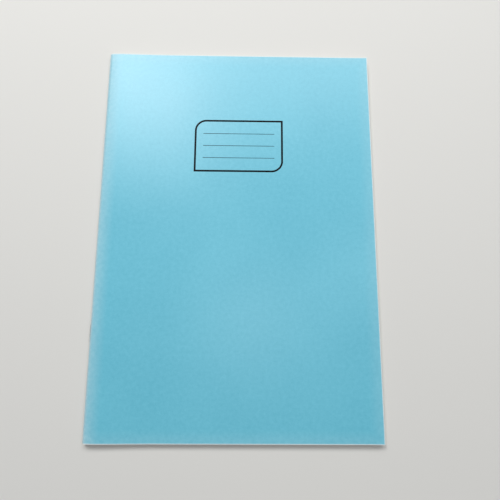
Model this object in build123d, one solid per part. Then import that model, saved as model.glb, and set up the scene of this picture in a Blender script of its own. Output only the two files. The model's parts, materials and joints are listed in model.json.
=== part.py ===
from build123d import *
import os
from math import asin, cos, degrees, radians, sin

# A stapled exercise book, lying shut: a folded card cover round a stack of folded paper sheets,
# with two wire staples through the fold.
# The origin is under the middle of the book. +X runs from the fold to the fore-edge, +Y from the
# tail to the head of the page, and +Z up through the front cover.

# Driving sizes, in millimetres
book_width = 210.0  # outside of the fold to the fore-edge
book_height = 297.0  # tail to head
sheet_count = 20  # folded sheets, each of two leaves
paper_thickness = 0.09
leaf_gap = 0.01  # air between one leaf and the next
card_thickness = 0.28
wire_diameter = 0.5
crown_length = 12.0  # the staple's back, between the centres of its legs
leg_length = 6.0  # one leg, with the end that is bent over inside the fold
bend_inside = 0.1  # inside radius of the staple's bends
staple_spacing = 148.0  # between the middles of the two staples
fold_room = 0.1  # between the bent-over legs and the innermost sheet
seat_gap = 0.02  # between the staple and the card or paper that it presses on
swing_gap = 0.35  # between the staples and the edges of the leaves that swing round them
crease_gap = 0.02  # between a crease and the flat leaf beyond it

# All the sheets and the cover are folded round one axis along Y, each outside the last
wire_radius = wire_diameter / 2
fold_bore = wire_radius + fold_room
leaf_pitch = paper_thickness + leaf_gap
cover_bore = fold_bore + sheet_count * leaf_pitch
spine_radius = cover_bore + card_thickness
crown_reach = spine_radius + seat_gap + wire_diameter

# Distances from the fold's axis: a crease ends and its flat leaf begins clear of the staples
leaf_start = crown_reach + swing_gap
leaf_reach = book_width - spine_radius
crease_reach = leaf_start - crease_gap

# The origin is halfway between the staples' backs and the fore-edge, on the back cover's outside
axis_x = crown_reach - (crown_reach + leaf_reach) / 2
axis_z = spine_radius
fold_axis = Pos(axis_x, 0, axis_z)

# The front half leans in, so that the innermost leaves meet at the fore-edge
lean = degrees(asin((2 * fold_bore - leaf_gap) / leaf_reach))

staple_places = {"head_staple": staple_spacing / 2, "tail_staple": -staple_spacing / 2}
hole_radius = wire_radius + bend_inside


def flat_leaf(bore, thickness):
    """A leaf of the front half before it leans in, with its inner face at a height above the fold's axis."""
    plate = Box(
        leaf_reach - leaf_start,
        book_height,
        thickness,
        align=(Align.MIN, Align.CENTER, Align.MIN),
    )
    return Pos(leaf_start, 0, bore) * plate


def front_leaf(bore, thickness):
    return fold_axis * Rot(0, lean, 0) * flat_leaf(bore, thickness)


def back_leaf(bore, thickness):
    return fold_axis * Pos(0, 0, -2 * bore - thickness) * flat_leaf(bore, thickness)


def staple_holes():
    """One hole for each staple leg, from the fold's axis out through the back of the fold."""
    leg_places = [
        middle + side * crown_length / 2
        for middle in staple_places.values()
        for side in (-1, 1)
    ]
    drill = Rot(0, -90, 0) * Cylinder(
        hole_radius, crown_reach, align=(Align.CENTER, Align.CENTER, Align.MIN)
    )
    return [fold_axis * Pos(0, place, 0) * drill for place in leg_places]


def crease(bore, thickness):
    """The bent strip of one sheet: half a ring round the axis with a short flat arm at each end."""
    outside = bore + thickness
    along = Vector(cos(radians(lean)), -sin(radians(lean)))
    across = Vector(sin(radians(lean)), cos(radians(lean)))
    inner_end = across * bore + along * crease_reach
    outer_end = across * outside + along * crease_reach
    outline = [
        CenterArc((0, 0), bore, 90 - lean, 180 + lean),
        Polyline(
            (0, -bore),
            (crease_reach, -bore),
            (crease_reach, -outside),
            (0, -outside),
        ),
        CenterArc((0, 0), outside, 90 - lean, 180 + lean),
        Polyline(across * outside, outer_end, inner_end, across * bore),
    ]
    section = fold_axis * (Plane.XZ * make_face(outline))
    strip = extrude(section, book_height / 2, both=True)
    return strip - staple_holes()


def staple(middle):
    """Wire with its back outside the fold, its legs through every crease and its ends bent over inside."""
    back_x = -(spine_radius + seat_gap + wire_radius)
    inside_x = -(fold_bore - seat_gap - wire_radius)
    bent_over = leg_length - (inside_x - back_x)
    half = crown_length / 2
    route = FilletPolyline(
        (inside_x, half - bent_over),
        (inside_x, half),
        (back_x, half),
        (back_x, -half),
        (inside_x, -half),
        (inside_x, bent_over - half),
        radius=wire_radius + bend_inside,
    )
    section = Plane(origin=route @ 0, z_dir=route % 0) * Circle(wire_radius)
    return fold_axis * Pos(0, middle, 0) * sweep(section, path=route)


def sheet_bore(number):
    """Height of a sheet's inner face from the fold's axis, with sheet 1 next to the cover."""
    return fold_bore + (sheet_count - number) * leaf_pitch


nodes = {
    "front_cover": front_leaf(cover_bore, card_thickness),
    "cover_fold": crease(cover_bore, card_thickness),
    "back_cover": back_leaf(cover_bore, card_thickness),
}
sheet_creases = []
for number in range(1, sheet_count + 1):
    bore = sheet_bore(number)
    nodes[f"sheet_{number:02d}_front_leaf"] = front_leaf(bore, paper_thickness)
    nodes[f"sheet_{number:02d}_back_leaf"] = back_leaf(bore, paper_thickness)
    sheet_creases.append(crease(bore, paper_thickness))
nodes["sheet_folds"] = Compound(children=sheet_creases)
for name, middle in staple_places.items():
    nodes[name] = staple(middle)

os.makedirs("parts", exist_ok=True)
for name, shape in nodes.items():
    export_step(shape, f"parts/{name}.step")

print(f"fold axis at x {axis_x:.3f}, z {axis_z:.3f} mm, front half leans in by {lean:.3f} degrees")
print(f"leaves start {leaf_start:.2f} mm from the axis, staples reach {crown_reach:.2f} mm")
print(f"{len(nodes)} nodes")
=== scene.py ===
import json
import math

import bpy
import numpy as np
from mathutils import Matrix, Quaternion, Vector


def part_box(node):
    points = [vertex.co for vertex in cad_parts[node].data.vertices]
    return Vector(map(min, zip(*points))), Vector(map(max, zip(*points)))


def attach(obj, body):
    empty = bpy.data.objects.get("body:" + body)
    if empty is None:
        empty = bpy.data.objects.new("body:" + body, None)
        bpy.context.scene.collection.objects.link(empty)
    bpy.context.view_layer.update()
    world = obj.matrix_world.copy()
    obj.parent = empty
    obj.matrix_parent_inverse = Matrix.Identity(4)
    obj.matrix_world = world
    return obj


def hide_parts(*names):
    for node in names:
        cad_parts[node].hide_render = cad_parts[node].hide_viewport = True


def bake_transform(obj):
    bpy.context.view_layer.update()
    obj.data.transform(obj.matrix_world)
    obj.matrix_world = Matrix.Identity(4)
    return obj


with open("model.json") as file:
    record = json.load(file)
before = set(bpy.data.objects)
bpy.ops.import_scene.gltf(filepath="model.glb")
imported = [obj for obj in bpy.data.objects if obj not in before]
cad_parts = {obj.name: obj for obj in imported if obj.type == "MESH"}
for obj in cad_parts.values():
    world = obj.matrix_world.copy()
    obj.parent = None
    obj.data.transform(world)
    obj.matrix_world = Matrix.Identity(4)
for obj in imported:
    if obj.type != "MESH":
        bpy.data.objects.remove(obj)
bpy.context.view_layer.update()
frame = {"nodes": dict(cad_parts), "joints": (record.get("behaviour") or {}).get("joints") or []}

mm = 0.001  # every length is in metres
print("frame loaded:", len(frame["nodes"]), "nodes")

# measures read off the frame
hinge = next(joint for joint in frame["joints"] if joint["name"] == "front_cover_hinge")
foldX, _, foldZ = hinge["pos_m"]  # the axis that everything is folded round
backLow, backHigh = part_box("back_cover")
cardThick = backHigh.z - backLow.z
halfHeight = backHigh.y
foreReach = backHigh.x - foldX  # fold axis to fore-edge
coverRadius = foldZ - cardThick / 2  # middle of the card, round the fold
sheetNames = sorted(name[: -len("_front_leaf")] for name in frame["nodes"] if name.endswith("_front_leaf"))
sheetCount = len(sheetNames)
leafLow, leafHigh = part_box(sheetNames[0] + "_back_leaf")
paperThick = leafHigh.z - leafLow.z
sheetRadius = [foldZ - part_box(name + "_back_leaf")[1].z + paperThick / 2 for name in sheetNames]
innerLeafLow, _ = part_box(sheetNames[-1] + "_front_leaf")
# fall of the front half for each metre out from the fold
leanSlope = (sheetRadius[-1] - paperThick / 2 + foldZ - innerLeafLow.z) / foreReach
stapleNames = ("head_staple", "tail_staple")


# shader nodes as Python expressions

class Term:
    # one value in a node tree: arithmetic on it adds Math nodes, and node() adds any other kind
    def __init__(self, tree, socket=None):
        self.tree = tree
        self.socket = socket

    def node(self, kind, settings, inputs, output=0):
        # a new node: its settings first, then a value or a link for each socket
        made = self.tree.nodes.new(kind)
        for key, value in settings.items():
            setattr(made, key, value)
        for key, value in inputs.items():
            if isinstance(value, Term):
                self.tree.links.new(value.socket, made.inputs[key])
            else:
                made.inputs[key].default_value = value
        return Term(self.tree, made.outputs[output])

    def maths(self, operation, *values):
        return self.node("ShaderNodeMath", {"operation": operation}, dict(enumerate(values)))

    def __add__(self, other):
        return self.maths("ADD", self, other)

    def __radd__(self, other):
        return self.maths("ADD", other, self)

    def __sub__(self, other):
        return self.maths("SUBTRACT", self, other)

    def __rsub__(self, other):
        return self.maths("SUBTRACT", other, self)

    def __mul__(self, other):
        return self.maths("MULTIPLY", self, other)

    def __rmul__(self, other):
        return self.maths("MULTIPLY", other, self)

    def __abs__(self):
        return self.maths("ABSOLUTE", self)

    def least(self, other):
        return self.maths("MINIMUM", self, other)

    def between(self, low, high):
        # low where this value is 0, high where it is 1
        return low + self * (high - low)

    def fade(self, near, far):
        # 1 at or below near, 0 at or above far, eased between them
        inputs = {"Value": self, "From Min": near, "From Max": far, "To Min": 1.0, "To Max": 0.0}
        return self.node("ShaderNodeMapRange", {"interpolation_type": "SMOOTHSTEP"}, inputs)

    def mixed(self, first, second):
        # a colour between two, with this value as the share of the second
        inputs = {0: self, 6: first, 7: second}  # 6, 7 and output 2 are a Mix node's sockets for colours
        return self.node("ShaderNodeMix", {"data_type": "RGBA"}, inputs, 2)

    def axis(self, name):
        # one coordinate of a place
        return self.node("ShaderNodeSeparateXYZ", {}, {"Vector": self}, name)

    def noise(self, scale, detail, closeness=(1, 1, 1)):
        # patches over a place: how many in a metre, how fine, and how close along each axis
        spread = self.node("ShaderNodeMapping", {}, {"Vector": self, "Scale": closeness})
        return self.node("ShaderNodeTexNoise", {}, {"Vector": spread, "Scale": scale, "Detail": detail})

    def bump(self, strength, depth):
        # a normal from this value as a height
        return self.node("ShaderNodeBump", {}, {"Strength": strength, "Distance": depth, "Height": self})


def startFinish(name, constants):
    # a new material: returns it, its Principled shader and an empty Term to build from
    finish = bpy.data.materials.new(name)
    finish.use_nodes = True
    shader = finish.node_tree.nodes["Principled BSDF"]
    for socket, value in constants.items():
        shader.inputs[socket].default_value = value
    return finish, shader, Term(finish.node_tree)


def feed(shader, links):
    # joins terms to the shader's sockets
    for socket, term in links.items():
        term.tree.links.new(term.socket, shader.inputs[socket])


def colour(red, green, blue):
    # sRGB from 0 to 255 as linear values
    share = np.array([red, green, blue]) / 255
    linear = np.where(share <= 0.04045, share / 12.92, ((share + 0.055) / 1.055) ** 2.4)
    return (*linear.tolist(), 1.0)


def planPlace(start):
    # the piece's own flat plan in metres, from its UV map
    return start.node("ShaderNodeUVMap", {"uv_map": "plan"}, {})


def noises(place, patches):
    # one noise for each kind of patch
    return {kind: place.noise(*spread) for kind, spread in patches.items()}


def weighed(terms, shares):
    # the terms added up, each times its share
    total, *others = [terms[kind] * share for kind, share in shares.items()]
    for part in others:
        total = total + part
    return total


# finishes: each kind of patch has its number in a metre, its fineness and, where it is drawn out, its
# closeness along each axis

cardFinish = {
    "blue": colour(118, 198, 217),
    "deepBlue": colour(74, 161, 184),
    # the pale worn colour is also the colour of the painted sheen
    "wornAndSheen": colour(220, 225, 224),
    "ior": 1.5,
    "patches": {
        "cloud": (16.0, 2.0),
        "flocks": (330.0, 3.0),  # fibres lie in uneven flocks about 3 mm wide
        "mottle": (900.0, 3.0),
        "fibre": (2600.0, 2.0, (1.0, 0.35, 1.0)),
        "wave": (22.0, 1.0),
        "cracks": (5600.0, 3.0, (1.0, 0.06, 1.0)),  # fine, and run along the fold
    },
    "tone": {"cloud": 0.3, "flocks": 0.4, "mottle": 0.3},  # shares in the unevenness of the blue
    "relief": {"fibre": 0.7, "mottle": 0.6, "flocks": 0.9, "wave": 2.5},  # shares in the height
    "bump": (0.5, 0.05 * mm),  # strength and depth
    "roughness": (0.34, 0.39),  # least and most, over the cloud
    "wornAndSheenRoughness": 0.2,  # added where the card is worn and where sheen is painted
    "crackFade": (0.36, 0.56),  # a crack is open where its noise is low
    # kinds of wear and of painted sheen: how wide, and the least and most share of the pale colour
    "rubbedEdge": (0.8 * mm, (0.5, 1.3)),
    "foldCracksAndHighlight": (4.2 * mm, (0.22, 0.62)),  # round from the tip of the fold: cracked card, whitened further as a painted highlight on the fold's shaded side
    "foldSheen": (14.0 * mm, (0.12, 0.36)),  # painted sheen: the paler band beside the fold, where the card curves down towards it
    "edgeSheen": (11.0 * mm, (0.03, 0.10)),  # painted sheen: the faintly paler band along the free edges
}


def wornAndSheen(kind, distance, patches):
    # fades out with the distance over the width of this kind of wear or painted sheen, and varies with some
    # patches
    width, strength = cardFinish[kind]
    return distance.fade(0.0, width) * patches.between(*strength)


def blueCardFinish(halfLength):
    # uneven blue that turns pale near the fold and the edges, where it is worn and where sheen is painted,
    # under a fine relief of fibres
    finish, shader, start = startFinish("blue_card", {"IOR": cardFinish["ior"]})
    place = planPlace(start)
    noise = noises(place, cardFinish["patches"])
    toFold = abs(place.axis("X"))
    toEdge = (halfHeight - abs(place.axis("Y"))).least(halfLength - toFold)
    # rubbed edges and fold cracks are wear; the bands beside the fold and along the free edges are painted
    # sheen
    wearAndSheenShare = (
        wornAndSheen("rubbedEdge", toEdge, noise["mottle"])
        + wornAndSheen("foldCracksAndHighlight", toFold, noise["cracks"].fade(*cardFinish["crackFade"]))
        + wornAndSheen("foldSheen", toFold, noise["flocks"])
        + wornAndSheen("edgeSheen", toEdge, noise["flocks"])
    )
    printed = weighed(noise, cardFinish["tone"]).mixed(cardFinish["deepBlue"], cardFinish["blue"])
    feed(shader, {
        "Base Color": wearAndSheenShare.mixed(printed, cardFinish["wornAndSheen"]),
        "Roughness": noise["cloud"].between(*cardFinish["roughness"]) + wearAndSheenShare * cardFinish["wornAndSheenRoughness"],
        "Normal": weighed(noise, cardFinish["relief"]).bump(*cardFinish["bump"]),
    })
    return finish


insideFinish = {
    "dull": colour(226, 229, 228),
    "bright": colour(242, 243, 240),
    "patches": {"flecks": (1400.0, 3.0), "cloud": (40.0, 2.0)},
    "tone": {"flecks": 0.5, "cloud": 0.5},
    "bump": (0.3, 0.02 * mm),
    "roughness": 0.72,
}


def insideCardFinish():
    # bare card, flecked and slightly cloudy
    finish, shader, start = startFinish("bare_card_inside", {"Roughness": insideFinish["roughness"]})
    noise = noises(planPlace(start), insideFinish["patches"])
    tone = weighed(noise, insideFinish["tone"])
    feed(shader, {
        "Base Color": tone.mixed(insideFinish["dull"], insideFinish["bright"]),
        "Normal": noise["flecks"].bump(*insideFinish["bump"]),
    })
    return finish


cutFinish = {
    "dull": colour(205, 214, 216),
    "bright": colour(240, 241, 238),
    "plies": (3000.0, 2.0),
    "roughness": 0.8,
}


def cutEdgeFinish():
    # the card's pale core where it is cut
    finish, shader, start = startFinish("cut_card_edge", {"Roughness": cutFinish["roughness"]})
    plies = planPlace(start).noise(*cutFinish["plies"])
    feed(shader, {"Base Color": plies.mixed(cutFinish["dull"], cutFinish["bright"])})
    return finish


pageFinish = {
    "dull": colour(222, 222, 217),
    "bright": colour(236, 236, 232),
    "crease": colour(150, 150, 147),
    "creaseWidth": 3.0 * mm,  # how far from the tip of the fold the paper is greyed as painted shade of the crease
    "creaseStrength": (0.22, 0.62),
    "patches": {"cloud": (55.0, 3.0), "tooth": (2200.0, 3.0)},
    "tone": {"cloud": 0.6, "tooth": 0.4},
    "bump": (0.2, 0.02 * mm),
    "shader": {"Roughness": 0.78, "Specular IOR Level": 0.35},
}


def paperFinish():
    # slightly cloudy white, greyed towards the fold by painted shade of the crease, under a fine tooth
    finish, shader, start = startFinish("writing_paper", pageFinish["shader"])
    place = planPlace(start)
    noise = noises(place, pageFinish["patches"])
    white = weighed(noise, pageFinish["tone"]).mixed(pageFinish["dull"], pageFinish["bright"])
    nearFold = abs(place.axis("X")).fade(0.0, pageFinish["creaseWidth"])
    # painted shade: the paper greys near the tip of the fold as shade in the crease
    creased = nearFold * noise["tooth"].between(*pageFinish["creaseStrength"])
    feed(shader, {
        "Base Color": creased.mixed(white, pageFinish["crease"]),
        "Normal": noise["tooth"].bump(*pageFinish["bump"]),
    })
    return finish


rulingInk = {
    # colours where the ink lies thin and where it lies full
    "feint_ink": (colour(178, 204, 220), colour(138, 176, 204)),
    "margin_ink": (colour(232, 166, 170), colour(212, 118, 130)),
    "lay": (1300.0, 3.0),
    "roughness": 0.7,
}


def rulingInkFinish(name):
    # ink that lies thin and full in small patches
    finish, shader, start = startFinish(name, {"Roughness": rulingInk["roughness"]})
    lay = planPlace(start).noise(*rulingInk["lay"])
    feed(shader, {"Base Color": lay.mixed(*rulingInk[name])})
    return finish


panelInk = {
    "full": colour(3, 4, 8),
    "thin": colour(14, 16, 20),
    "lay": (1800.0, 2.0),
    "shader": {"Roughness": 0.55, "Specular IOR Level": 0.08},
}


def blackInkFinish():
    # near black, a little greyer where the ink lies thin
    finish, shader, start = startFinish("black_ink", panelInk["shader"])
    lay = start.node("ShaderNodeTexCoord", {}, {}, "Object").noise(*panelInk["lay"])
    feed(shader, {"Base Color": lay.mixed(panelInk["full"], panelInk["thin"])})
    return finish


steelFinish = {
    "dull": colour(176, 178, 180),
    "bright": colour(206, 207, 208),
    "patches": {
        "drawn": (5000.0, 2.0, (0.04, 1.0, 1.0)),  # fine marks along the wire
        "tarnish": (700.0, 2.0),
    },
    "roughness": (0.24, 0.42),
    "bump": (0.3, 0.01 * mm),
}


def wireFinish():
    # bright steel with drawing marks along the wire
    finish, shader, start = startFinish("drawn_wire", {"Metallic": 1.0})
    noise = noises(planPlace(start), steelFinish["patches"])
    feed(shader, {
        "Base Color": noise["tarnish"].mixed(steelFinish["dull"], steelFinish["bright"]),
        "Roughness": noise["drawn"].between(*steelFinish["roughness"]),
        "Normal": noise["drawn"].bump(*steelFinish["bump"]),
    })
    return finish


# meshes from arrays

def putMesh(name, points, faces, slots, plan, finishes, sharpDegrees=35):
    # makes the object at the origin: plan is a UV place in metres for each point
    mesh = bpy.data.meshes.new(name)
    mesh.from_pydata(points.tolist(), [], faces)
    for finish in finishes:
        mesh.materials.append(finish)
    mesh.polygons.foreach_set("material_index", np.asarray(slots, np.int32))
    mesh.polygons.foreach_set("use_smooth", np.ones(len(faces), bool))
    corner = np.empty(len(mesh.loops), np.int32)
    mesh.loops.foreach_get("vertex_index", corner)
    layer = mesh.uv_layers.new(name="plan")
    layer.data.foreach_set("uv", plan[corner].astype(np.float32).ravel())
    mesh.set_sharp_from_angle(angle=math.radians(sharpDegrees))
    mesh.update()
    piece = bpy.data.objects.new(name, mesh)
    bpy.context.scene.collection.objects.link(piece)
    return piece


def gridOf(*coordinates):
    # one grid of points from coordinates that each vary along one direction of it, along both or not at all
    return np.stack(np.broadcast_arrays(*coordinates), axis=-1)


def gridQuads(index):
    # quads over a grid of point numbers, turned so that the first direction crossed with the second is up
    return np.stack([index[:-1, :-1], index[1:, :-1], index[1:, 1:], index[:-1, 1:]], axis=-1)


def ringQuads(index):
    # quads between rings of point numbers, each ring closed on itself
    return gridQuads(np.concatenate([index, index[:, :1]], axis=1)).reshape(-1, 4).tolist()


def tubeFaces(rings, sides, closed=False):
    # faces of a tube whose rings run anticlockwise as seen along its path, with flat ends unless the path
    # closes on itself
    index = np.arange(rings * sides).reshape(rings, sides)
    if closed:
        return ringQuads(np.concatenate([index, index[:1]]))
    return ringQuads(index) + [index[0].tolist(), index[-1][::-1].tolist()]


def halfThickness(middle, half):
    # the surface's unit normal times half the thickness, at each grid point
    normal = np.cross(np.gradient(middle, axis=0), np.gradient(middle, axis=1))
    return normal / np.linalg.norm(normal, axis=2, keepdims=True) * np.asarray(half)[..., None]


def thickShell(name, middle, offset, plan, finishes, topSlots, underSlots, rimSlot):
    # a closed shell on a grid: the middle surface plus and minus an offset, joined by a rim of quads along
    # the four borders
    points = np.concatenate([(middle + offset).reshape(-1, 3), (middle - offset).reshape(-1, 3)])
    top = np.arange(middle.shape[0] * middle.shape[1]).reshape(middle.shape[:2])
    under = top + top.size
    rim = np.concatenate([
        np.stack([top[:-1, 0], under[:-1, 0], under[1:, 0], top[1:, 0]], axis=-1),
        np.stack([top[:-1, -1], top[1:, -1], under[1:, -1], under[:-1, -1]], axis=-1),
        np.stack([top[0, :-1], top[0, 1:], under[0, 1:], under[0, :-1]], axis=-1),
        np.stack([top[-1, :-1], under[-1, :-1], under[-1, 1:], top[-1, 1:]], axis=-1),
    ])
    faces = np.concatenate([gridQuads(top).reshape(-1, 4), gridQuads(under)[..., ::-1].reshape(-1, 4), rim])
    slots = np.concatenate([topSlots.ravel(), underSlots.ravel(), np.full(len(rim), rimSlot)])
    flat = plan.reshape(-1, 2)
    return putMesh(name, points, faces.tolist(), slots, np.concatenate([flat, flat]), finishes)


# the shape of the closed book

closedShape = {
    "foldRun": 7.0 * mm,  # how far from the fold the front half still rises
    "coverDrop": 0.25 * mm,  # how far the cover sinks at the fold
    "leafDrop": 0.08 * mm,  # the same for the innermost leaf
    "thinTurn": 0.01,  # radians: the narrow step at each end of a fold's quarter
    "sagStart": 3.0 * mm,  # the front half sinks from here
    "sagEnd": 48.0 * mm,  # and lies on the back half from here on
    "bowShare": 0.35,  # shares of the room over the leaning front half: its bow,
    "curlShare": 0.30,  # the curl of its fore-edge,
    "cornerCurl": 0.5,  # and how much more the corners curl
    "curlRun": 14.0 * mm,
}
curlStart = foreReach - closedShape["curlRun"]


def frontRise(radius, drop, s):
    # height over the fold axis at a distance s from it: the radius, less a drop that eases out as a square
    # over foldRun, less the straight fall of the leaning half, less a smooth step that shuts what is left of
    # the gap between the innermost leaves
    run = np.clip(s / closedShape["foldRun"], 0, 1)
    sink = np.clip((s - closedShape["sagStart"]) / (closedShape["sagEnd"] - closedShape["sagStart"]), 0, 1)
    sag = leanSlope * (foreReach - s) * sink**2 * (3 - 2 * sink)
    return radius - drop * (1 - run) ** 2 - leanSlope * s - sag


def frontLift(s, y):
    # the bow grows as the square of s, and the fore-edge curls up as a square over curlRun, more at the
    # corners, where the curl grows as the fourth power of y
    room = leanSlope * foreReach
    bow = closedShape["bowShare"] * (s / foreReach) ** 2
    curl = np.clip((s - foreReach) / closedShape["curlRun"] + 1, 0, 1) ** 2
    corner = 1 + closedShape["cornerCurl"] * (y / halfHeight) ** 4
    return room * (bow + closedShape["curlShare"] * curl * corner)


def thinEnded(last, steps):
    # even steps from nothing to last, with a narrow one at each end so that the next piece lines up with it
    thin = closedShape["thinTurn"]
    return np.concatenate([[0.0], np.linspace(thin, last - thin, steps), [last]])


def foldArc(radius, drop, steps):
    # from below the axis round its left side to above it: a quarter circle, then a quarter that is squeezed
    # down by the drop and ends at the slope that frontRise starts with; also the number of the point at
    # the tip
    turn = thinEnded(math.pi / 2, steps)[:-1]
    slope = 2 * drop / closedShape["foldRun"] * radius / (radius - drop)
    endCos = slope / (1 - slope)
    climb = thinEnded(math.acos(endCos), steps)
    across = np.concatenate([
        -radius * np.sin(turn),
        -radius * (np.cos(climb) - endCos) / (1 - endCos),
    ])
    up = np.concatenate([
        -radius * np.cos(turn),
        (radius - drop) * np.sin(climb) / math.sqrt(1 - endCos**2),
    ])
    return across, up, len(turn)


def pathLength(across, up):
    # distance walked along a path, from its first point
    return np.concatenate([[0.0], np.cumsum(np.hypot(np.diff(across), np.diff(up)))])


foldBend = {
    "endShare": 0.15,  # how far along its bend a fold is where it meets the flat leaf; the tip is halfway
    "inset": 0.02 * mm,  # how far it stands back at the head and tail, to slip between the open leaves
}


def bendAtFold(piece, radius, quarter):
    # works out the line across a quarter of the fold along which a share of its body's turn would grow, but
    # only bakes the piece's transform
    tip = Vector((foldX - radius, 0, foldZ))
    flatEnd = Vector((foldX, 0, foldZ - radius if quarter == "lower" else foldZ + radius))
    line = (tip - flatEnd) / (0.5 - foldBend["endShare"])  # from nothing to all of the turn
    start, end = tip - line / 2, tip + line / 2
    if quarter == "upper":
        start, end = end, start
    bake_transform(piece)


# the cover

coverShell = {
    "edgeRound": 0.05 * mm,  # the bevel of its edges
    "seam": 0.05 * mm,  # first step of the flat card beside the fold
    "arcSteps": 14,
    "backSteps": 10,
    "riseSteps": 10,
    "sagSteps": 20,
    "panelSteps": 24,
    "curlSteps": 12,
    "rows": 90,
    "dentDepth": 0.12 * mm,  # where a staple's leg pulls the card in
    "dentSpread": 0.45 * mm,
    "dentReach": 3.5,  # spreads on each side of a leg that get rows of their own
    "dentRows": 15,
}
coverParts = [
    ("back_cover_card", "back_cover"),
    ("cover_fold_lower", "cover_fold"),
    ("cover_fold_upper", "cover_fold"),
    ("front_cover_card", "front_cover"),
]
outsideSlot, insideSlot, edgeSlot = range(3)  # places in the cover's list of finishes


def legPlaces():
    # y of the staples' legs
    places = []
    for node in stapleNames:
        low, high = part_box(node)
        radius = (high.z - low.z) / 2
        places += [low.y + radius, high.y - radius]
    return np.array(places)


def coverPath():
    # the card's middle line seen from the tail: along the back to the fold, round it, and along the front,
    # with the distance from the fold where it belongs to the front, and the points where it is cut in parts
    seam, inset = coverShell["seam"], foreReach - coverShell["edgeRound"]
    rise, sagEnd = closedShape["foldRun"], closedShape["sagEnd"]
    drop = closedShape["coverDrop"]
    backS = np.concatenate([[foreReach], np.linspace(inset, seam, coverShell["backSteps"])])
    frontS = np.concatenate([
        np.linspace(seam, rise, coverShell["riseSteps"], endpoint=False),
        np.linspace(rise, sagEnd, coverShell["sagSteps"], endpoint=False),
        np.linspace(sagEnd, curlStart, coverShell["panelSteps"], endpoint=False),
        np.linspace(curlStart, inset, coverShell["curlSteps"]),
        [foreReach],
    ])
    arcX, arcZ, tip = foldArc(coverRadius, drop, coverShell["arcSteps"])
    pathX = np.concatenate([backS, arcX, frontS])
    pathZ = np.concatenate([np.full(len(backS), -coverRadius), arcZ, frontRise(coverRadius, drop, frontS)])
    liftS = np.concatenate([np.zeros(len(backS) + len(arcX)), frontS])
    cuts = [0, len(backS), len(backS) + tip, len(backS) + len(arcX) - 1, len(pathX) - 1]
    return pathX, pathZ, liftS, cuts


def coverRows(legs):
    # y of the card's grid rows: even, with more of them round each staple leg
    edge, reach = coverShell["edgeRound"], coverShell["dentReach"]
    around = np.linspace(-reach, reach, coverShell["dentRows"]) * coverShell["dentSpread"]
    return np.unique(np.concatenate([
        [-halfHeight, halfHeight],
        np.linspace(edge - halfHeight, halfHeight - edge, coverShell["rows"]),
        (legs[:, None] + around).ravel(),
    ]))


def coverMiddle(pathX, pathZ, liftS, walked, rows, legs):
    # the path carried along Y, raised by the front's lift and pulled towards the axis by a bell-shaped dent
    # at each staple leg
    lift = frontLift(liftS[:, None], rows) * (liftS[:, None] > 0)
    middle = gridOf(foldX + pathX[:, None], rows, foldZ + pathZ[:, None] + lift)
    spread = 2 * coverShell["dentSpread"] ** 2
    bellsAlongY = np.exp(-((rows[:, None] - legs) ** 2) / spread).sum(axis=1)
    bells = bellsAlongY * np.exp(-walked[:, None] ** 2 / spread)
    toAxis = -np.stack([pathX, np.zeros(len(pathX)), pathZ], axis=-1)
    toAxis /= np.linalg.norm(toAxis, axis=1, keepdims=True)
    return middle + coverShell["dentDepth"] * bells[..., None] * toAxis[:, None, :]


def makeCover():
    # one card, thinner along its rounded edges, cut at the tip and ends of the fold; the back and front
    # parts follow their own bodies, and the fold parts stay where they are made; returns the distance from
    # the tip to the fore-edge
    pathX, pathZ, liftS, cuts = coverPath()
    legs = legPlaces()
    rows = coverRows(legs)
    walked = pathLength(pathX, pathZ)
    walked -= walked[cuts[2]]  # nothing at the tip of the fold
    halfLength = float(walked[-1])

    middle = coverMiddle(pathX, pathZ, liftS, walked, rows, legs)
    half = np.full(middle.shape[:2], cardThick / 2)
    half[[0, -1], :] -= coverShell["edgeRound"]
    half[1:-1, [0, -1]] -= coverShell["edgeRound"]
    offset = halfThickness(middle, half)
    offset[:, [0, -1], 1] = 0  # the cut at the head and tail stays upright where a corner curls
    plan = gridOf(walked[:, None], rows)
    finishes = [blueCardFinish(halfLength), insideCardFinish(), cutEdgeFinish()]

    cards = []
    for (name, node), first, last in zip(coverParts, cuts[:-1], cuts[1:]):
        part = slice(first, last + 1)
        outside = np.full((last - first, len(rows) - 1), outsideSlot)
        inside = np.full_like(outside, insideSlot)
        body = middle[part].copy()
        if node == "cover_fold":
            body[:, 0, 1] += foldBend["inset"]
            body[:, -1, 1] -= foldBend["inset"]
        card = thickShell(name, body, offset[part], plan[part], finishes, outside, inside, edgeSlot)
        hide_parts(node)
        cards.append(card)
    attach(cards[0], "back_half")
    bendAtFold(cards[1], coverRadius, "lower")
    bendAtFold(cards[2], coverRadius, "upper")
    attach(cards[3], "front_cover")
    return halfLength


coverLength = makeCover()
print("cover made, half length", round(coverLength / mm, 2), "mm")


# the sheets

ruling = {
    "headSpace": 30.0 * mm,  # head edge to the first line
    "tailSpace": 12.0 * mm,
    "pitch": 8.0 * mm,
    "lineWidth": 0.3 * mm,
    "marginPlace": 26.0 * mm,  # from a page's left edge
    "marginWidth": 0.35 * mm,
}
leafShell = {
    "liftSeed": 11,
    "trimSeed": 12,
    "trims": (0.03 * mm, 0.14 * mm),  # least and most that a leaf's edge stands back from the cover's
    "topShare": 0.88,  # lift of the outermost leaf, as a share of the cover's
    "stepSizes": (0.15, 1.0),  # least and most lift of a leaf over the next one in, relative to the others
    "stepWaves": (1.0, 3.5),  # least and most half waves in that step between the middle and the head
    "stepSwell": 0.7,  # how much of the step comes and goes with the waves
    "riseSteps": 6,
    "sagSteps": 10,
    "panelSteps": 10,
    "curlSteps": 6,
    "arcSteps": 4,  # steps in a quarter of the fold, and one more for each arcStep of radius
    "arcStep": 0.4 * mm,
}
paperSlot, lineSlot, marginSlot = range(3)  # places in a page's list of finishes


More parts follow.
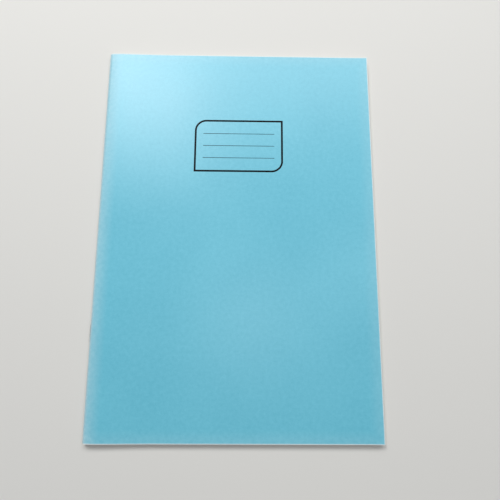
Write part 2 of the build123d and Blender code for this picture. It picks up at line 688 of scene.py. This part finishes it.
def ruledRows(tailTrim, headTrim):
    # y of the page's grid rows, two for each ruled line, and which strips between rows are lines
    first = halfHeight - ruling["headSpace"]
    count = int((2 * halfHeight - ruling["headSpace"] - ruling["tailSpace"]) / ruling["pitch"]) + 1
    lines = first - ruling["pitch"] * np.arange(count)
    halfLine = ruling["lineWidth"] / 2
    ends = [tailTrim - halfHeight, halfHeight - headTrim]
    rows = np.sort(np.concatenate([lines - halfLine, lines + halfLine, ends]))
    between = (rows[:-1] + rows[1:]) / 2
    return rows, abs(between[:, None] - lines).min(axis=1) < halfLine


def leafColumns(trim):
    # s of the page's grid columns, two for each margin line, and for each line which strips belong to it
    rise, sagEnd = closedShape["foldRun"], closedShape["sagEnd"]
    halfLine = ruling["marginWidth"] / 2
    margins = np.array([ruling["marginPlace"], foreReach - ruling["marginPlace"]])
    columns = np.unique(np.concatenate([
        np.linspace(0, rise, leafShell["riseSteps"], endpoint=False),
        np.linspace(rise, sagEnd, leafShell["sagSteps"], endpoint=False),
        np.linspace(sagEnd, curlStart, leafShell["panelSteps"], endpoint=False),
        np.linspace(curlStart, foreReach - trim, leafShell["curlSteps"]),
        margins - halfLine,
        margins + halfLine,
    ]))
    between = (columns[:-1] + columns[1:]) / 2
    return columns, [abs(between - place) < halfLine for place in margins]


def pageSlots(lineStrips, marginStrips):
    # the finish of each face: ruled lines along the page, and a margin line over them
    slots = np.full((len(marginStrips), len(lineStrips)), paperSlot)
    slots[:, lineStrips] = lineSlot
    slots[marginStrips, :] = marginSlot
    return slots


def liftShares(rowCount):
    # each leaf lifts a little more than the one inside it: steps of random size that swell and shrink
    # along Y, added up from the innermost leaf out
    chance = np.random.default_rng(leafShell["liftSeed"])
    size = chance.uniform(*leafShell["stepSizes"], (sheetCount, 1))
    waves = chance.uniform(*leafShell["stepWaves"], (sheetCount, 1))
    phase = chance.uniform(0, 2 * math.pi, (sheetCount, 1))
    along = np.linspace(-1, 1, rowCount)
    steps = size * (1 + leafShell["stepSwell"] * np.sin(waves * math.pi * along + phase))
    steps[-1] = 0
    summed = np.cumsum(steps[::-1], axis=0)[::-1]
    return leafShell["topShare"] * summed / summed[0]


def makePage(name, side, s, rows, height, fromTip, lineStrips, margins, finishes):
    # one flat half of a sheet: its columns and rows at a height over the fold's axis; the margin line is on
    # the left of both of its pages, so its place differs between them
    middle = gridOf(foldX + s[:, None], rows, foldZ + height)
    plan = gridOf(fromTip + s[:, None], rows)
    leaf = thickShell(
        f"{name}_{side}_page", middle, halfThickness(middle, paperThick / 2), plan, finishes,
        pageSlots(lineStrips, margins[0]), pageSlots(lineStrips, margins[1]), paperSlot,
    )
    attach(leaf, f"{name}_front" if side == "front" else "back_half")
    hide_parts(f"{name}_{side}_leaf")


def makeFold(name, radius, arcX, arcZ, tip, walked, rows, lineStrips, finishes):
    # the bent strip of a sheet: the fold's arc carried along Y, cut at its tip
    rows = np.clip(rows, rows[0] + foldBend["inset"], rows[-1] - foldBend["inset"])
    middle = gridOf(foldX + arcX[:, None], rows, foldZ + arcZ[:, None])
    offset = halfThickness(middle, paperThick / 2)
    plan = gridOf((walked - walked[tip])[:, None], rows)
    for quarter, part in (("lower", slice(0, tip + 1)), ("upper", slice(tip, len(arcX)))):
        slots = pageSlots(lineStrips, np.zeros(len(arcX[part]) - 1, bool))
        fold = thickShell(
            f"{name}_fold_{quarter}", middle[part], offset[part], plan[part], finishes,
            slots, slots, paperSlot,
        )
        bendAtFold(fold, radius, quarter)
        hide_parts("sheet_folds")


def makeSheets():
    # each sheet is two pages and a fold: the back page is flat, and the front page follows frontRise and
    # takes its share of the lift
    finishes = [paperFinish(), rulingInkFinish("feint_ink"), rulingInkFinish("margin_ink")]
    chance = np.random.default_rng(leafShell["trimSeed"])
    trims = chance.uniform(*leafShell["trims"], (sheetCount, 4))  # tail, head and the two fore-edges
    drops = np.linspace(closedShape["coverDrop"], closedShape["leafDrop"], sheetCount + 1)[1:]
    shares = liftShares(len(ruledRows(0, 0)[0]))
    for name, radius, drop, share, trim in zip(sheetNames, sheetRadius, drops, shares, trims):
        tailTrim, headTrim, frontTrim, backTrim = trim
        rows, lineStrips = ruledRows(tailTrim, headTrim)
        arcX, arcZ, tip = foldArc(radius, drop, leafShell["arcSteps"] + int(radius / leafShell["arcStep"]))
        walked = pathLength(arcX, arcZ)
        frontS, margins = leafColumns(frontTrim)
        rise = frontRise(radius, drop, frontS)[:, None] + share * frontLift(frontS[:, None], rows)
        makePage(name, "front", frontS, rows, rise, walked[tip], lineStrips, margins, finishes)
        backS, margins = leafColumns(backTrim)
        makePage(name, "back", backS, rows, -radius, walked[tip], lineStrips, margins, finishes)
        makeFold(name, radius, arcX, arcZ, tip, walked, rows, lineStrips, finishes)


makeSheets()
print("sheets made:", sheetCount)


# the staples

stapleWire = {
    "clinch": 3.2 * mm,  # the end that is bent over inside the fold
    "bendRadius": 0.35 * mm,
    "crownSteps": 6,
    "bendSteps": 8,
    "clinchSteps": 8,
    "sides": 16,
    "flatten": 0.08,  # how much the crown is pressed flat
    "crownReach": 1.2,  # wire radii from the staple's back: the wire whose middle is nearer is the crown
    "spring": 0.10 * mm,  # how far a bent end springs back off the paper
    "cutTaper": 0.72,  # how thick the cut ends are, as a share of the wire
    "sharpDegrees": 50,
}


def wirePath(insideX, outsideX, halfCrown):
    # half of the wire from the middle of the crown to the cut end, with arcs at its two bends and an end
    # that springs back as a square
    bend = stapleWire["bendRadius"]
    turn = np.linspace(0, math.pi / 2, stapleWire["bendSteps"])
    crownY = np.linspace(0, halfCrown - bend, stapleWire["crownSteps"])
    clinchY = np.linspace(halfCrown - bend, halfCrown - stapleWire["clinch"], stapleWire["clinchSteps"])[1:]
    away = (halfCrown - bend - clinchY) / stapleWire["clinch"]
    x = np.concatenate([
        np.full(len(crownY), outsideX),
        outsideX + bend * (1 - np.cos(turn))[1:],
        insideX - bend * (1 - np.sin(turn)),
        insideX + stapleWire["spring"] * away**2,
    ])
    y = np.concatenate([
        crownY,
        halfCrown - bend * (1 - np.sin(turn))[1:],
        halfCrown - bend * (1 - np.cos(turn)),
        clinchY,
    ])
    return x, y


def makeStaple(node, finish):
    # a round wire: a circle carried along a path that lies flat in the XY plane, mirrored about the middle
    # of the crown
    low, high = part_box(node)
    radius = (high.z - low.z) / 2
    middleY = (low.y + high.y) / 2
    x, y = wirePath(high.x - radius, low.x + radius, (high.y - low.y) / 2 - radius)
    x = np.concatenate([x[:0:-1], x])
    y = np.concatenate([-y[:0:-1], y])
    walked = pathLength(x, y)
    taper = np.ones(len(x))
    taper[[0, -1]] = stapleWire["cutTaper"]
    tangent = np.stack([np.gradient(x), np.gradient(y)], axis=-1)
    tangent /= np.linalg.norm(tangent, axis=1, keepdims=True)
    crown = 1 - stapleWire["flatten"] * (x < low.x + stapleWire["crownReach"] * radius)
    turn = np.linspace(0, 2 * math.pi, stapleWire["sides"], endpoint=False)
    outward = radius * (taper * crown)[:, None] * np.cos(turn)
    points = gridOf(
        x[:, None] - tangent[:, 1:] * outward,
        middleY + y[:, None] + tangent[:, :1] * outward,
        foldZ - radius * taper[:, None] * np.sin(turn),
    ).reshape(-1, 3)
    faces = tubeFaces(len(x), len(turn))
    plan = gridOf(walked[:, None], radius * turn).reshape(-1, 2)
    sharp = stapleWire["sharpDegrees"]
    wire = putMesh(f"{node}_wire", points, faces, np.zeros(len(faces)), plan, [finish], sharp)
    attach(wire, "spine")
    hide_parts(node)


steel = wireFinish()
for node in stapleNames:
    makeStaple(node, steel)
print("staples made")


# the printed name panel

namePanel = {
    "centre": (1.0 * mm, 70.5 * mm),
    "size": (68.0 * mm, 41.6 * mm),
    "cornerRadius": 8.3 * mm,  # at the upper left and lower right
    "stroke": 1.5 * mm,
    "lineCount": 3,
    "lineLength": 56.0 * mm,
    "linePitch": 10.0 * mm,
    "lineStroke": 0.40 * mm,
    "proud": 0.012 * mm,  # the film of ink over the card
    "sunk": 0.02 * mm,
    "arcSteps": 14,
    "sideSteps": 16,
}


def coverTop(x, y):
    # height of the front cover's outer face
    s = x - foldX
    return foldZ + frontRise(coverRadius, closedShape["coverDrop"], s) + frontLift(s, y) + cardThick / 2


def putInk(name, inner, outer, closed, ink):
    # a thin film between two edges on the cover: a flat four-sided section carried along the stroke
    innerTop, outerTop = coverTop(inner[:, 0], inner[:, 1]), coverTop(outer[:, 0], outer[:, 1])
    sunk, proud = namePanel["sunk"], namePanel["proud"]
    rings = np.stack([
        np.column_stack([outer, outerTop - sunk]),
        np.column_stack([outer, outerTop + proud]),
        np.column_stack([inner, innerTop + proud]),
        np.column_stack([inner, innerTop - sunk]),
    ], axis=1)
    points = rings.reshape(-1, 3)
    faces = tubeFaces(len(rings), rings.shape[1], closed)
    film = putMesh(name, points, faces, np.zeros(len(faces)), points[:, :2], [ink])
    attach(film, "front_cover")


def panelLoop(offset):
    # the panel's outline moved out by an offset, anticlockwise from the upper right: a square corner, a
    # round one, a square one and a round one
    halfWide, halfHigh = namePanel["size"][0] / 2 + offset, namePanel["size"][1] / 2 + offset
    radius = namePanel["cornerRadius"] + offset
    turn = np.linspace(math.pi / 2, math.pi, namePanel["arcSteps"])
    steps = np.linspace(0, 1, namePanel["sideSteps"], endpoint=False)[:, None]
    arcMiddle = np.array([radius - halfWide, halfHigh - radius])
    arc = arcMiddle + radius * np.column_stack([np.cos(turn), np.sin(turn)])
    upperRight, lowerLeft = np.array([halfWide, halfHigh]), np.array([-halfWide, -halfHigh])
    half = np.concatenate([
        upperRight + (arc[0] - upperRight) * steps,
        arc[:-1],
        arc[-1] + (lowerLeft - arc[-1]) * steps,
    ])
    return np.concatenate([half, -half]) + namePanel["centre"]


def makePanel():
    # the outline, and evenly spaced writing lines about its middle
    ink = blackInkFinish()
    halfStroke, halfLine = namePanel["stroke"] / 2, namePanel["lineStroke"] / 2
    putInk("name_panel_outline", panelLoop(-halfStroke), panelLoop(halfStroke), True, ink)
    x = namePanel["centre"][0] + namePanel["lineLength"] * np.linspace(-0.5, 0.5, namePanel["sideSteps"])
    middleNumber = (namePanel["lineCount"] + 1) / 2
    for number in range(1, namePanel["lineCount"] + 1):
        y = namePanel["centre"][1] + (middleNumber - number) * namePanel["linePitch"]
        putInk(f"name_panel_line_{number}", gridOf(x, y + halfLine), gridOf(x, y - halfLine), False, ink)


makePanel()
print("name panel made")


# stage, light and camera

stage = {
    "floorRadius": 1.7,
    "floorRings": (0.35, 0.7, 1.0),  # as shares of the radius
    "floorSides": 96,
    "floorDrop": 0.02 * mm,
    "floorColour": colour(208, 207, 203),
    "floorRoughness": 0.9,
    "skyColour": (0.80, 0.83, 0.88, 1.0),
    "skyStrength": 0.24,
    "backdropStrength": 0.72,  # how bright the sky is behind the floor
}


def makeFloor():
    # a flat disc: rings of growing radius about the middle
    turn = np.linspace(0, 2 * math.pi, stage["floorSides"], endpoint=False)
    radius = stage["floorRadius"] * np.array(stage["floorRings"])[:, None]
    rings = gridOf(radius * np.cos(turn), radius * np.sin(turn), -stage["floorDrop"])
    points = rings.reshape(-1, 3)
    index = np.arange(len(points)).reshape(rings.shape[:2])
    faces = ringQuads(index) + [index[0].tolist()]
    constants = {"Base Color": stage["floorColour"], "Roughness": stage["floorRoughness"]}
    finish, _, _ = startFinish("pale_floor", constants)
    floor = putMesh("floor", points, faces, np.zeros(len(faces)), points[:, :2], [finish])


def makeSky():
    # one even colour, brighter where the camera sees it than where it lights the book
    world = bpy.data.worlds.new("studio")
    bpy.context.scene.world = world
    world.use_nodes = True
    sky = world.node_tree.nodes["Background"]
    sky.inputs["Color"].default_value = stage["skyColour"]
    seen = Term(world.node_tree).node("ShaderNodeLightPath", {}, {}, "Is Camera Ray")
    feed(sky, {"Strength": seen.between(stage["skyStrength"], stage["backdropStrength"])})


softLights = {  # place, aim and size in metres, and power in watts
    "head_softbox": ((0.08, 1.05, 1.10), (0, 0.05, 0), (1.4, 0.45), 13.9),
    "corner_softbox": ((-0.45, 0.82, 1.10), (-0.08, 0.10, 0), (0.36, 0.50), 8.6),
    "left_softbox": ((-0.72, -0.30, 1.10), (0, -0.05, 0), (0.25, 0.7), 0.2),
    "right_softbox": ((0.68, 0.12, 1.10), (0, -0.05, 0), (0.28, 0.5), 2.0),
    "top_softbox": ((0.02, -0.10, 1.30), (0, -0.05, 0), (0.30, 0.22), 1.8),
}


def makeLights():
    # flat rectangles of light, each turned to the point that it aims at
    for name, (place, aim, size, power) in softLights.items():
        lamp = bpy.data.lights.new(name, "AREA")
        lamp.shape = "RECTANGLE"
        lamp.size, lamp.size_y = size
        lamp.energy = power
        holder = bpy.data.objects.new(name, lamp)
        holder.location = place
        look = Vector(aim) - Vector(place)
        holder.rotation_euler = look.to_track_quat("-Z", "Y").to_euler()
        bpy.context.scene.collection.objects.link(holder)


photoView = {
    "place": (6.9 * mm, -54.3 * mm, 272.2 * mm),
    "aim": (10.4 * mm, -12.3 * mm, 5.0 * mm),
    "rollDegrees": -0.39,
    "lens": 26.0,  # focal length in millimetres, for a frame of the next width
    "frameWidth": 36.0,
    "clipStart": 10.0 * mm,
}


def makeCamera():
    # looks from its place to its aim, with the head of the page up in the picture, then rolls a little
    lens = bpy.data.cameras.new("photo_view")
    lens.lens = photoView["lens"]
    lens.sensor_width = photoView["frameWidth"]
    lens.clip_start = photoView["clipStart"]
    camera = bpy.data.objects.new("photo_view", lens)
    camera.location = photoView["place"]
    look = (Vector(photoView["aim"]) - Vector(photoView["place"])).normalized()
    right = look.cross(Vector((0, 1, 0))).normalized()
    basis = Matrix((right, right.cross(look), -look)).transposed()
    roll = Quaternion(look, math.radians(photoView["rollDegrees"]))
    camera.rotation_euler = (roll @ basis.to_quaternion()).to_euler()
    bpy.context.scene.collection.objects.link(camera)
    bpy.context.scene.camera = camera
    bpy.context.scene.view_settings.view_transform = "Standard"


makeFloor()
makeSky()
makeLights()
makeCamera()
print("stage set")
